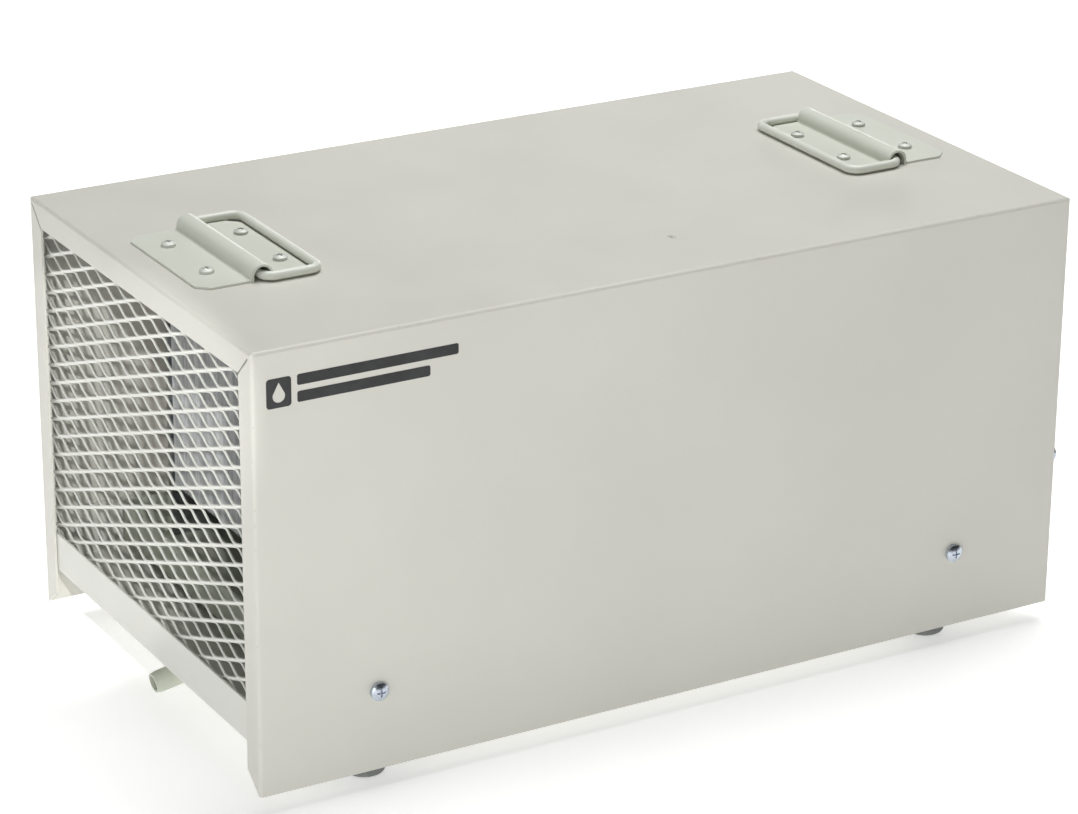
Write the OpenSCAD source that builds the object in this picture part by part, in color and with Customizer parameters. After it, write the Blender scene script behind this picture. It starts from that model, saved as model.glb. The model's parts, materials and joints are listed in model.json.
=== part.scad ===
// Compact commercial dehumidifier: a folded steel cover over a base tray, an
// expanded-metal air inlet at the left end, an evaporator and condenser, an axial
// fan, a rotary compressor and an electrical box behind the right end.
//
// Axes: X runs from the inlet end to the outlet end, Y from front to rear, Z up.
// Sub-parts are drawn in casing coordinates, whose origin is the front lower corner
// of the inlet end, and in_frame() moves them to the part's own frame.

/* [Casing] */
// Length of the cover, from inlet end to outlet end
body_l = 616; // [600:1:640]
// Width of the cover, from front to rear
body_w = 342; // [336:1:360]
// Height of the cover
body_h = 300; // [296:1:320]
// Thickness of the cover, tray and panels
sheet_t = 1.5; // [1:0.1:2]
// Outer radius of the folds
fold_r = 2.5; // [2:0.1:4]
// Width of the flanges folded round each end opening
flange_w = 18; // [14:1:22]
// Gap between two flanges at a mitred corner
mitre_gap = 1.6; // [0.8:0.1:2.5]
// Height of the chamfer at the flanges' lower ends
flange_chamfer = 13; // [6:1:18]
// How far the feet reach below the cover
foot_drop = 13; // [8:1:20]

/* [Base tray] */
// Height of the underside of the tray above the cover's lower edge
tray_z = 29; // [24:1:30]
// Height of the top of the tray's end rails
rail_top = 58; // [50:1:60]
// Height of the top of the tray's side walls
tray_side_top = 68; // [64:1:72]
// Gap between the tray's ends and the flanges' outer faces
rail_inset = 2; // [1.8:0.1:3]

/* [Expanded metal] */
// Long way of one mesh diamond
mesh_lwd = 35; // [25:0.5:45]
// Short way of one mesh diamond
mesh_swd = 13.2; // [9:0.1:16]
// Width of a mesh strand
mesh_strand = 2.6; // [1.5:0.1:3.5]
// Depth of the mesh
mesh_t = 2; // [1:0.1:2.5]
// Unpierced border of the mesh
mesh_border = 10; // [6:1:12]

/* [Handles] */
// Distance of each handle's hinge from its end of the cover
handle_x = 64; // [60:1:80]
// Handle plate size across the cover's length
plate_l = 79.5; // [76:0.5:80]
// Handle plate size across the cover's width
plate_w = 114; // [112:1:120]
// Chamfer at the plate's corners
plate_chamfer = 8; // [4:1:12]
// Diameter of the bail rod
rod_d = 6; // [5:0.5:6.5]
// Distance between the bail's two arms, centre to centre
bail_w = 121; // [121:1:126]
// Distance from the hinge to the bail's grip
bail_reach = 39.5; // [37:0.5:42]
// Centreline radius of the bail's corners
bail_corner_r = 8; // [6:0.5:10]
// Spacing of the handle screws along the cover's length
handle_screw_dx = 52; // [50:1:54]
// Spacing of the handle screws along the cover's width
handle_screw_dy = 58; // [50:1:60]

/* [Feet] */
// Distance of the feet from the ends of the cover
foot_x = 87; // [80:1:100]
// Distance of the feet from the sides of the cover
foot_y = 26; // [24:1:30]
// Diameter of the foot's bottom
foot_bottom_d = 28; // [24:1:32]
// Diameter of the foot's top
foot_top_d = 38; // [34:1:42]

/* [Drain] */
// Outer diameter of the drain spigot
spigot_d = 15; // [12:0.5:16]
// Bore of the drain spigot
spigot_bore_d = 10.5; // [8:0.5:11]
// Height of the centre of the spigot's tip
spigot_tip_z = 9.4; // [8:0.1:12]
// Fall of the spigot towards its tip, in degrees
spigot_fall = 10; // [5:1:12]

/* [Coils] */
// Distance of the evaporator's face from the inlet end
evap_x = 84; // [80:1:88]
// Distance of the condenser's face from the inlet end
cond_x = 136; // [134:1:138]
// Depth of each coil in the direction of the air
coil_d = 44; // [40:1:46]
// Number of tube rows in each coil
coil_rows = 8; // [6:2:8]
// Spacing of the tube rows
row_pitch = 25; // [22:0.5:25]
// Number of fins on each coil
fin_count = 60; // [40:1:70]
// Thickness of a fin
fin_t = 0.5; // [0.3:0.1:0.6]
// Diameter of the coil tubes and the larger pipes
pipe_d = 9.5; // [8:0.1:9.5]

/* [Fan] */
// Diameter of the impeller
fan_d = 230; // [200:1:232]
// Number of blades
blade_count = 5; // [3:1:7]
// Pitch of the blades, in degrees
blade_pitch = 28; // [20:1:34]
// Radial gap between the impeller and its shroud
fan_tip_gap = 3; // [2:0.5:4]
// Diameter of the motor body
motor_d = 82; // [70:1:90]

/* [Compressor] */
// Diameter of the compressor shell
comp_d = 118; // [100:1:120]
// Height of the compressor shell
comp_h = 216; // [180:1:218]
// Spacing of the compressor's mounting holes
comp_mount = 120; // [116:1:124]

/* [Controls] */
// Height of the top of the control panel
panel_top = 158; // [150:1:170]
// Depth of the recess in front of the control panel
panel_recess = 15; // [12:1:16]
// Half of the rocker's travel, in degrees
rocker_tilt = 12; // [8:1:14]

/* [Hidden] */
$fn = 64;
paint = [0.84, 0.84, 0.81];
paint_light = [0.88, 0.88, 0.86];
zinc = [0.72, 0.74, 0.78];
steel = [0.62, 0.63, 0.64];
aluminium = [0.76, 0.78, 0.82];
copper = [0.78, 0.45, 0.30];
brass = [0.78, 0.65, 0.36];
black = [0.10, 0.10, 0.11];
rubber = [0.26, 0.27, 0.27];
plastic_pale = [0.78, 0.80, 0.74];
plastic_dark = [0.17, 0.17, 0.18];
board_green = [0.10, 0.36, 0.20];

// M6 and M5 fasteners
m6_r = 3;
m6_head_r = 6.2;
m6_head_h = 4.6;
m6_nut_af = 10;
m6_nut_h = 5;
m5_r = 2.5;
m5_head_r = 4.8;
m5_head_h = 3.4;
m5_nut_af = 8;
m5_nut_h = 4;
hole_gap = 0.2;
thread_gap = 0.05;

centre_x = (body_l + m6_head_h) / 2;
side_screw_x = 84.5;
side_screw_z = 55.5;
flange_screw_y = 9;
flange_screw_z = 110;
end_screw_xs = [side_screw_x, body_l - side_screw_x];

tray_gap = 0.1;
tray_x = rail_inset;
tray_l = body_l - 2 * tray_x;
tray_y = sheet_t + tray_gap;
tray_w = body_w - 2 * tray_y;
floor_z = tray_z + sheet_t;
mesh_x = tray_x + sheet_t + 0.5;
mesh_half_l = mesh_lwd / 2;
mesh_half_s = mesh_swd / 2;
mesh_hole_k = 1 - (mesh_strand / 2) * norm([mesh_half_l, mesh_half_s]) / (mesh_half_l * mesh_half_s);

rod_r = rod_d / 2;
plate_t = 1.5;
rod_z = rod_r + 0.5;
plate_shift = bail_reach - rod_r - 1 - plate_l / 2;
barrel_in = rod_r + 3;
barrel_out = barrel_in + plate_t;
barrel_flare = 1.5;

foot_h = tray_z + foot_drop;
foot_recess_r = 8;
foot_recess = 20;

drain_x = 64;
drain_y = body_w / 2 - 4.5;
spigot_r = spigot_d / 2;
spigot_tip_x = 2;
spigot_run = (drain_x - spigot_tip_x) / cos(spigot_fall);
drain_z = spigot_tip_z + (drain_x - spigot_tip_x) * tan(spigot_fall);
boss_r = 9;
spigot_socket = 10;
spigot_step = 0.4;
elbow_mouth = 16;

drip_x = 50;
drip_l = 138;
drip_y = 22;
drip_w = body_w - 2 * drip_y;
drip_z = 44;
drip_h = 30;
drip_t = 2;

pipe_r = pipe_d / 2;
coil_y = 34;
end_plate_t = 1.5;
fin_margin = 1.5;
fin_z = 85;
fin_h = 200;
row_z = fin_z + 12;
column_in = 11;
column_pitch = coil_d - 2 * column_in;
evap_top_z = row_z + (coil_rows - 1) * row_pitch;

fan_y = body_w / 2;
fan_z = 172;
fan_r = fan_d / 2;
shroud_x = 190;
shroud_ring = 26;
shroud_y = 20;
shroud_notch_w = 16;
shroud_notch_z = 279;
hub_r = 34;
hub_x = 198;
hub_l = 34;
hub_wall = 3;
hub_boss_r = 9;
hub_boss_l = 28;
blade_t = 2;
blade_chord = 62;
shaft_r = 4;
motor_x = 242;
motor_l = 58;
motor_r = motor_d / 2;
motor_nose_l = 8;
motor_nose_r = 17;
motor_edge = 6;
shaft_bore_l = 31;
clamp_inset = 20;
arm_w = 14;
arm_t = 2.5;

comp_x = 400;
comp_y = 205;
comp_r = comp_d / 2;
comp_z = 48;
comp_wall = 3.2;
terminal_reach = 26;
comp_top = comp_z + comp_h;
grommet_h = 14;
grommet_r = 12;
mount_plate_t = 3.5;
acc_x = 430;
acc_y = 110;
acc_z = 95;
acc_h = 140;
acc_r = 26;
chase_y = 11.5;
elbow_swell = 0.3;
drier_y = chase_y;
drier_z = 56;
drier_r = 8;
drier_x = 300;
drier_l = 100;
cap_r = 1.2;
cap_turns = 5;
cap_coil_r = 28;
cap_x = 470;
cap_y = 44;
hot_r = 3.2;
hot_y = 60;
valve_x = 300;
valve_l = 34;
valve_z = 291;
valve_r = 7;
stem_r = 6;
stem_l = 46;
drop_x = 360;
drop_y = 125;

panel_x = body_l - sheet_t - 0.1 - panel_recess;
panel_z = rail_top + 2;
panel_y = 4;
panel_w = body_w - 2 * panel_y;
panel_h = panel_top - panel_z;
lip_x = panel_x + panel_recess;
lip_w = 20;
box_x = 518;
box_y = 160;
box_w = 172;
box_z = 62;
box_h = 94;
box_t = 1.2;
lead_out_y = box_y + 30;
lead_out_z = box_z + box_h - 24;
panel_face = panel_x + sheet_t;
control_z = 112;
switch_y = 196;
switch_r = 12.4;
switch_gap = 0.4;
switch_w = 19;
switch_bezel = 2;
switch_wall = 2.2;
pivot_x = panel_face + switch_bezel - 5;
pivot_r = 1.5;
valley = 4.5;
meter_y = 250;
meter_w = 36;
meter_h = 24;
gland_y = 300;
gland_z = 90;
gland_r = 10;
gland_bore_r = 4.8;
gland_nut_h = 6;
gland_l = 20;

// ---------- shared shapes ----------

module in_frame() {
    translate([-centre_x, -body_w / 2, foot_drop]) children();
}

module rounded_rect(w, h, r) {
    union() {
        translate([r, 0]) square([w - 2 * r, h]);
        translate([0, r]) square([w, h - 2 * r]);
        for (x = [r, w - r])
            for (y = [r, h - r])
                translate([x, y]) circle(r);
    }
}

module chamfered_rect(w, h, c) {
    polygon([[c - w / 2, -h / 2], [w / 2 - c, -h / 2], [w / 2, c - h / 2], [w / 2, h / 2 - c],
        [w / 2 - c, h / 2], [c - w / 2, h / 2], [-w / 2, h / 2 - c], [-w / 2, c - h / 2]]);
}

// A box with every edge rounded, as folded sheet looks from outside
module folded_box(l, w, h, r) {
    intersection() {
        linear_extrude(h) rounded_rect(l, w, r);
        translate([0, w, 0]) rotate([90, 0, 0]) linear_extrude(w) rounded_rect(l, h, r);
        rotate([90, 0, 90]) linear_extrude(l) rounded_rect(w, h, r);
    }
}

// Folded box of even thickness, open at the top above height h
module folded_tray(l, w, h, t, r) {
    difference() {
        folded_box(l, w, h + 3 * r, r);
        translate([t, t, t]) folded_box(l - 2 * t, w - 2 * t, h + 3 * r, r - t);
        translate([-1, -1, h]) cube([l + 2, w + 2, 4 * r]);
    }
}

// Pan-head screw, head up, with its shank running down from z = 0
module pan_screw(shank_r, shank_l, head_r, head_h) {
    dome_r = (head_r * head_r + head_h * head_h) / (1.2 * head_h);
    difference() {
        intersection() {
            cylinder(h = head_h, r = head_r);
            translate([0, 0, head_h - dome_r]) sphere(dome_r);
        }
        for (turn = [0, 90])
            rotate([0, 0, turn]) translate([-head_r / 2, -0.55, head_h - 2])
                cube([head_r, 1.1, 3]);
    }
    translate([0, 0, -shank_l]) cylinder(h = shank_l, r = shank_r);
}

module hex_nut(across_flats, bore_r, h) {
    difference() {
        cylinder(h = h, r = across_flats / sqrt(3), $fn = 6);
        translate([0, 0, -1]) cylinder(h = h + 2, r = bore_r);
    }
}

// Round bar from a to b
module bar(a, b, r) {
    d = b - a;
    len = norm(d);
    translate(a) rotate([0, acos(d[2] / len), atan2(d[1], d[0])]) cylinder(h = len, r = r);
}

// Round pipe through a list of points, with a ball at each bend that is a little
// fatter than the pipe, like a brazed elbow
module pipe(points, r) {
    for (i = [0:len(points) - 2])
        bar(points[i], points[i + 1], r);
    for (i = [1:1:len(points) - 2])
        translate(points[i]) sphere(r + elbow_swell);
}

// Round bend in the XY plane: quarter ring about the origin, from +X to +Y
module ring_arc(major_r, minor_r, sweep) {
    rotate_extrude(angle = sweep) translate([major_r, 0]) circle(minor_r);
}

module front_and_rear() {
    children();
    translate([0, body_w, 0]) mirror([0, 1, 0]) children();
}

module both_ends() {
    children();
    translate([body_l, 0, 0]) mirror([1, 0, 0]) children();
}

// ---------- casing ----------

module end_opening() {
    translate([-1, flange_w, -20])
        cube([sheet_t + 2, body_w - 2 * flange_w, body_h - flange_w + 20]);
    front_and_rear() {
        translate([-1, flange_w, body_h - flange_w]) rotate([45, 0, 0])
            translate([0, -mitre_gap / 2, -mitre_gap])
                cube([sheet_t + 2, mitre_gap, flange_w * 1.07 + mitre_gap]);
        translate([-1, 0, 0]) rotate([90, 0, 90]) linear_extrude(sheet_t + 2)
            polygon([[-1, -1], [flange_w + 1, -1], [flange_w + 1, flange_chamfer + 1],
                [flange_w, flange_chamfer], [sheet_t, 0], [-1, 0]]);
    }
}

module cover() {
    skirt = 20;
    color(paint) in_frame() difference() {
        translate([0, 0, -skirt]) folded_box(body_l, body_w, body_h + skirt, fold_r);
        translate([sheet_t, sheet_t, -skirt - sheet_t])
            folded_box(body_l - 2 * sheet_t, body_w - 2 * sheet_t, body_h + skirt, fold_r - sheet_t);
        translate([-1, -1, -skirt - 1]) cube([body_l + 2, body_w + 2, skirt + 1]);
        both_ends() end_opening();
        front_and_rear() for (x = end_screw_xs)
            translate([x, -1, side_screw_z]) rotate([-90, 0, 0])
                cylinder(h = sheet_t + 2, r = m6_r + hole_gap);
        front_and_rear() translate([body_l - sheet_t - 1, flange_screw_y, flange_screw_z])
            rotate([0, 90, 0]) cylinder(h = sheet_t + 2, r = m6_r + hole_gap);
        handle_places() translate([0, 0, -sheet_t - 1]) handle_screw_places()
            cylinder(h = sheet_t + 2, r = m5_r + hole_gap);
    }
}

module base_tray() {
    color(paint_light) in_frame() difference() {
        translate([tray_x, tray_y, tray_z])
            folded_tray(tray_l, tray_w, tray_side_top - tray_z, sheet_t, fold_r);
        both_ends() translate([tray_x - 1, tray_y - 1, rail_top])
            cube([fold_r + 3, tray_w + 2, tray_side_top]);
        front_and_rear() for (x = end_screw_xs)
            translate([x, 0, side_screw_z]) rotate([-90, 0, 0])
                cylinder(h = tray_y + sheet_t + 1, r = m6_r + hole_gap);
        foot_places() translate([0, 0, tray_z - 1]) cylinder(h = sheet_t + 2, r = m6_r + hole_gap);
        compressor_mount_places() translate([0, 0, tray_z - 1])
            cylinder(h = sheet_t + 2, r = m6_r + hole_gap);
        translate([drain_x, drain_y, tray_z - 1]) cylinder(h = sheet_t + 2, r = boss_r + 0.5);
    }
}

module mesh_diamond() {
    polygon([[mesh_half_l * mesh_hole_k, 0], [0, mesh_half_s * mesh_hole_k],
        [-mesh_half_l * mesh_hole_k, 0], [0, -mesh_half_s * mesh_hole_k]]);
}

// Flat sheet of expanded metal, w along Y and h along Z
module expanded_sheet(w, h) {
    columns = ceil(w / mesh_half_l);
    rows = ceil(h / mesh_swd);
    rotate([90, 0, 90]) linear_extrude(mesh_t) difference() {
        square([w, h]);
        intersection() {
            translate([mesh_border, mesh_border])
                square([w - 2 * mesh_border, h - 2 * mesh_border]);
            for (i = [0:columns])
                for (j = [0:rows])
                    translate([i * mesh_half_l, (j + (i % 2) / 2) * mesh_swd]) mesh_diamond();
        }
    }
}

module inlet_mesh() {
    low = rail_top - mesh_border - 2;
    color(paint_light) in_frame() translate([mesh_x, panel_y, low])
        expanded_sheet(panel_w, body_h - 3 - low);
}

module outlet_mesh() {
    low = panel_top + 1;
    color(paint_light) in_frame() translate([body_l - mesh_x - mesh_t, panel_y, low])
        expanded_sheet(panel_w, body_h - 3 - low);
}

module side_screws() {
    color(zinc) in_frame() front_and_rear() for (x = end_screw_xs)
        translate([x, 0, side_screw_z]) rotate([90, 0, 0])
            pan_screw(m6_r, 12, m6_head_r, m6_head_h);
}

module side_nuts() {
    color(steel) in_frame() front_and_rear() for (x = end_screw_xs)
        translate([x, tray_y + sheet_t, side_screw_z]) rotate([-90, 0, 0])
            hex_nut(m6_nut_af, m6_r + thread_gap, m6_nut_h);
}

// ---------- handles ----------

// Each handle's own coordinates: origin on the top of the cover under the hinge,
// X towards the middle of the cover
module handle_place(side) {
    translate([side < 0 ? handle_x : body_l - handle_x, body_w / 2, body_h])
        mirror([side < 0 ? 0 : 1, 0, 0]) children();
}

module handle_places() {
    handle_place(-1) children();
    handle_place(1) children();
}

module handle_screw_places() {
    for (x = [-1, 1])
        for (y = [-1, 1])
            translate([x * handle_screw_dx / 2, y * handle_screw_dy / 2, 0]) children();
}

module along_plate(length) {
    translate([0, length / 2, 0]) rotate([90, 0, 0]) linear_extrude(length) children();
}

module barrel_section() {
    difference() {
        union() {
            intersection() {
                translate([0, rod_z]) circle(barrel_out);
                translate([-barrel_out, 0]) square(2 * barrel_out);
            }
            translate([-barrel_out, 0]) square([2 * barrel_out, rod_z]);
            translate([-barrel_out - barrel_flare, 0])
                square([2 * (barrel_out + barrel_flare), plate_t + barrel_flare]);
        }
        for (side = [-1, 1])
            translate([side * (barrel_out + barrel_flare), plate_t + barrel_flare])
                circle(barrel_flare);
    }
}

module handle_plate() {
    difference() {
        union() {
            translate([plate_shift, 0, 0]) linear_extrude(plate_t)
                chamfered_rect(plate_l, plate_w, plate_chamfer);
            along_plate(plate_w) barrel_section();
        }
        along_plate(plate_w + 2) {
            translate([0, rod_z]) circle(barrel_in);
            translate([-barrel_in, -1]) square([2 * barrel_in, rod_z + 1]);
        }
        translate([0, 0, -1]) handle_screw_places()
            cylinder(h = plate_t + 2, r = m5_r + hole_gap);
    }
}

module bail() {
    side_l = bail_w / 2 - bail_corner_r;
    translate([0, 0, rod_z]) {
        for (x = [0, bail_reach])
            bar([x, -side_l, 0], [x, side_l, 0], rod_r);
        for (y = [-1, 1])
            bar([bail_corner_r, y * bail_w / 2, 0],
                [bail_reach - bail_corner_r, y * bail_w / 2, 0], rod_r);
        for (y = [-1, 1])
            for (x = [-1, 1])
                translate([bail_reach / 2 + x * (bail_reach / 2 - bail_corner_r), y * side_l, 0])
                    mirror([x < 0 ? 1 : 0, 0, 0]) mirror([0, y < 0 ? 1 : 0, 0])
                        ring_arc(bail_corner_r, rod_r, 90);
    }
}

module handle_plate_left() { color(plastic_pale) in_frame() handle_place(-1) handle_plate(); }
module handle_plate_right() { color(plastic_pale) in_frame() handle_place(1) handle_plate(); }
module handle_bail_left() { color(plastic_pale) in_frame() handle_place(-1) bail(); }
module handle_bail_right() { color(plastic_pale) in_frame() handle_place(1) bail(); }

module handle_screws() {
    color(zinc) in_frame() handle_places() translate([0, 0, plate_t]) handle_screw_places()
        pan_screw(m5_r, 11, m5_head_r, m5_head_h);
}

module handle_nuts() {
    color(steel) in_frame() handle_places() translate([0, 0, -sheet_t - m5_nut_h])
        handle_screw_places() hex_nut(m5_nut_af, m5_r + thread_gap, m5_nut_h);
}

// ---------- feet ----------

module foot_places() {
    for (x = [foot_x, body_l - foot_x])
        for (y = [foot_y, body_w - foot_y])
            translate([x, y, 0]) children();
}

// Rubber foot hung from the tray's underside, with a stepped hole for its bolt
module foot(x, y) {
    edge_r = 4;
    color(rubber) in_frame() translate([x, y, -foot_drop]) difference() {
        rotate_extrude() union() {
            polygon([[0, 0], [foot_bottom_d / 2 - edge_r, 0], [foot_bottom_d / 2, edge_r],
                [foot_top_d / 2, foot_h - 3], [foot_top_d / 2, foot_h], [0, foot_h]]);
            intersection() {
                translate([foot_bottom_d / 2 - edge_r, edge_r]) circle(edge_r);
                square([foot_bottom_d, foot_h]);
            }
        }
        translate([0, 0, -1]) cylinder(h = foot_recess + 1, r = foot_recess_r);
        cylinder(h = foot_h + 1, r = m6_r + hole_gap);
    }
}

module foot_front_left() { foot(foot_x, foot_y); }
module foot_front_right() { foot(body_l - foot_x, foot_y); }
module foot_rear_left() { foot(foot_x, body_w - foot_y); }
module foot_rear_right() { foot(body_l - foot_x, body_w - foot_y); }

module foot_bolts() {
    reach = floor_z + m6_nut_h + 1 - (foot_recess - foot_drop);
    color(zinc) in_frame() foot_places() translate([0, 0, foot_recess - foot_drop])
        mirror([0, 0, 1]) pan_screw(m6_r, reach, m6_head_r, m6_head_h);
}

module foot_nuts() {
    color(steel) in_frame() foot_places() translate([0, 0, floor_z])
        hex_nut(m6_nut_af, m6_r + thread_gap, m6_nut_h);
}

// ---------- drain ----------

module drip_tray() {
    outlet_r = spigot_bore_d / 2;
    color(plastic_pale) in_frame() difference() {
        union() {
            translate([drip_x, drip_y, drip_z])
                folded_tray(drip_l, drip_w, drip_h, drip_t, 4);
            translate([drain_x, drain_y, floor_z + 4])
                cylinder(h = drip_z - floor_z - 4 + drip_t, r = boss_r + 2);
        }
        translate([drain_x, drain_y, floor_z]) cylinder(h = drip_h, r = outlet_r);
    }
}

// Elbow below the drip tray's outlet, with a blind socket that holds the spigot
module drain_elbow() {
    color(plastic_pale) in_frame() difference() {
        union() {
            translate([drain_x, drain_y, drain_z]) sphere(boss_r + elbow_swell);
            translate([drain_x, drain_y, drain_z]) cylinder(h = floor_z + 4 - drain_z, r = boss_r);
            translate([drain_x, drain_y, drain_z]) rotate([0, -90 - spigot_fall, 0])
                cylinder(h = elbow_mouth, r = boss_r);
        }
        translate([drain_x, drain_y, drain_z]) cylinder(h = floor_z, r = spigot_bore_d / 2);
        translate([drain_x, drain_y, drain_z]) rotate([0, -90 - spigot_fall, 0])
            cylinder(h = 20, r = spigot_bore_d / 2 - 0.1);
        translate([drain_x, drain_y, drain_z]) rotate([0, -90 - spigot_fall, 0])
            translate([0, 0, spigot_socket]) cylinder(h = 20, r = spigot_r - spigot_step);
    }
}

module drain_spigot() {
    lead_in = 4;
    color(plastic_pale) in_frame() translate([drain_x, drain_y, drain_z])
        rotate([0, -90 - spigot_fall, 0]) difference() {
            union() {
                translate([0, 0, spigot_socket])
                    cylinder(h = elbow_mouth - spigot_socket, r = spigot_r - spigot_step);
                translate([0, 0, elbow_mouth])
                    cylinder(h = spigot_run - elbow_mouth - lead_in, r = spigot_r);
                translate([0, 0, spigot_run - lead_in])
                    cylinder(h = lead_in, r1 = spigot_r, r2 = spigot_r - 0.8);
            }
            cylinder(h = spigot_run + 1, r = spigot_bore_d / 2);
        }
}

// ---------- coils ----------

module fin_pack(x) {
    first = coil_y + end_plate_t + fin_margin;
    step = (body_w - 2 * first - fin_t) / (fin_count - 1);
    color(aluminium) in_frame() for (i = [0:fin_count - 1])
        translate([x, first + i * step, fin_z]) cube([coil_d, fin_t, fin_h]);
}

// U-bend joining two tubes: rings in the plane through the tube ends
module return_bend(x, z, spread, turn, front) {
    translate([x, front ? coil_y : body_w - coil_y, z]) rotate([0, turn, 0])
        rotate([0, 0, front ? 180 : 0]) ring_arc(spread / 2, pipe_r, 180);
}

// Two columns of tubes joined into one circuit whose two open ends are both at the
// front. They are in the top row when ends_on_top is true, else in the bottom row.
module tube_circuit(x, ends_on_top) {
    columns = [x + column_in, x + coil_d - column_in];
    link_row = ends_on_top ? 0 : coil_rows - 1;
    first_bend = ends_on_top ? coil_rows - 2 : 0;
    color(copper) in_frame() union() {
        for (cx = columns)
            for (i = [0:coil_rows - 1])
                bar([cx, coil_y, row_z + i * row_pitch],
                    [cx, body_w - coil_y, row_z + i * row_pitch], pipe_r);
        for (cx = columns)
            for (i = [0:coil_rows - 2])
                return_bend(cx, row_z + (i + 0.5) * row_pitch, row_pitch, 90,
                    (i - first_bend) % 2 != 0);
        return_bend(x + coil_d / 2, row_z + link_row * row_pitch, column_pitch, 0, true);
    }
}

module end_plates(x) {
    color(steel) in_frame() front_and_rear()
        translate([x - 1.5, coil_y, drip_z + drip_t])
            cube([coil_d + 3, end_plate_t, fin_z + fin_h + 2 - drip_z - drip_t]);
}

module evaporator_fins() { fin_pack(evap_x); }
module evaporator_tubes() { tube_circuit(evap_x, true); }
module evaporator_end_plates() { end_plates(evap_x); }
module condenser_fins() { fin_pack(cond_x); }
module condenser_tubes() { tube_circuit(cond_x, false); }
module condenser_end_plates() { end_plates(cond_x); }

// ---------- fan ----------

module on_fan_axis(x) {
    translate([x, fan_y, fan_z]) rotate([0, 90, 0]) children();
}

module fan_shroud() {
    hole_r = fan_r + fan_tip_gap;
    color(steel) in_frame() difference() {
        union() {
            translate([shroud_x, shroud_y, floor_z])
                cube([sheet_t, body_w - shroud_y - tray_y - sheet_t - 0.5, body_h - 4 - floor_z]);
            on_fan_axis(shroud_x) cylinder(h = shroud_ring, r = hole_r + sheet_t);
        }
        on_fan_axis(shroud_x - 1) cylinder(h = shroud_ring + 2, r = hole_r);
        translate([shroud_x - 1, hot_y - shroud_notch_w / 2, shroud_notch_z])
            cube([sheet_t + 2, shroud_notch_w, body_h]);
    }
}

module fan_impeller() {
    color(plastic_dark) in_frame() on_fan_axis(hub_x) difference() {
        union() {
            cylinder(h = hub_l, r = hub_r);
            intersection() {
                cylinder(h = hub_l, r = fan_r);
                for (i = [0:blade_count - 1])
                    rotate([0, 0, i * 360 / blade_count]) translate([hub_r - 6, 0, hub_l / 2])
                        rotate([blade_pitch, 0, 0])
                            translate([0, -blade_chord / 2, -blade_t / 2])
                                cube([fan_r, blade_chord, blade_t]);
            }
        }
        translate([0, 0, hub_wall]) cylinder(h = hub_l, r = hub_r - hub_wall);
        translate([0, 0, -1]) cylinder(h = hub_l, r = shaft_r);
    }
    color(plastic_dark) in_frame() on_fan_axis(hub_x) difference() {
        cylinder(h = hub_boss_l, r = hub_boss_r);
        translate([0, 0, -1]) cylinder(h = hub_l, r = shaft_r);
    }
}

module fan_shaft() {
    color(steel) in_frame() on_fan_axis(hub_x - 4)
        cylinder(h = motor_x + shaft_bore_l - 1 - hub_x, r = shaft_r);
}

module fan_motor() {
    color(black) in_frame() on_fan_axis(motor_x) difference() {
        union() {
            cylinder(h = motor_nose_l, r = motor_nose_r);
            translate([0, 0, motor_edge]) cylinder(h = motor_l - 2 * motor_edge, r = motor_r);
            translate([0, 0, motor_l - motor_edge])
                cylinder(h = motor_edge, r1 = motor_r - 2, r2 = motor_r - 2 * motor_edge);
        }
        translate([0, 0, -1]) cylinder(h = shaft_bore_l + 1, r = shaft_r + thread_gap);
    }
}

module fan_bracket() {
    clamp_x = motor_x + clamp_inset;
    arm_r = fan_r + fan_tip_gap + 8;
    color(steel) in_frame() {
        on_fan_axis(clamp_x) difference() {
            cylinder(h = arm_w, r = motor_r + arm_t);
            translate([0, 0, -1]) cylinder(h = arm_w + 2, r = motor_r);
        }
        for (turn = [45:90:315])
            on_fan_axis(clamp_x) rotate([0, 0, turn]) {
                translate([motor_r + 1, -arm_w / 2, 0]) cube([arm_r - motor_r - 1, arm_w, arm_t]);
                translate([arm_r - arm_t, -arm_w / 2, shroud_x + sheet_t - clamp_x])
                    cube([arm_t, arm_w, clamp_x - shroud_x - sheet_t + arm_t]);
            }
    }
}

// ---------- refrigerant circuit ----------

module compressor_mount_places() {
    for (x = [-1, 1])
        for (y = [-1, 1])
            translate([comp_x + x * comp_mount / 2, comp_y + y * comp_mount / 2, 0]) children();
}

// Closed can with domed ends, standing on z = 0
module domed_can(r, h, dome) {
    ball_r = (r * r + dome * dome) / (2 * dome);
    rotate_extrude() union() {
        translate([0, dome]) square([r, h - 2 * dome]);
        intersection() {
            translate([0, ball_r]) circle(ball_r);
            square([r, dome]);
        }
        intersection() {
            translate([0, h - ball_r]) circle(ball_r);
            translate([0, h - dome]) square([r, dome]);
        }
    }
}

module compressor_shell() {
    color(black) in_frame() translate([comp_x, comp_y, comp_z]) {
        difference() {
            union() {
                domed_can(comp_r, comp_h, 20);
                translate([0, 0, comp_h - 36]) cylinder(h = 5, r = comp_r + 1.5);
            }
            translate([0, 0, comp_wall]) domed_can(comp_r - comp_wall, comp_h - 2 * comp_wall, 19);
        }
    }
}

module compressor_core() {
    core_r = comp_r - comp_wall - 4;
    color(steel) in_frame() translate([comp_x, comp_y, comp_z + 40]) {
        cylinder(h = 28, r = comp_r - comp_wall);
        translate([0, 0, 28]) cylinder(h = 24, r = 16);
        translate([0, 0, 44]) cylinder(h = 70, r = core_r);
    }
}

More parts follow.
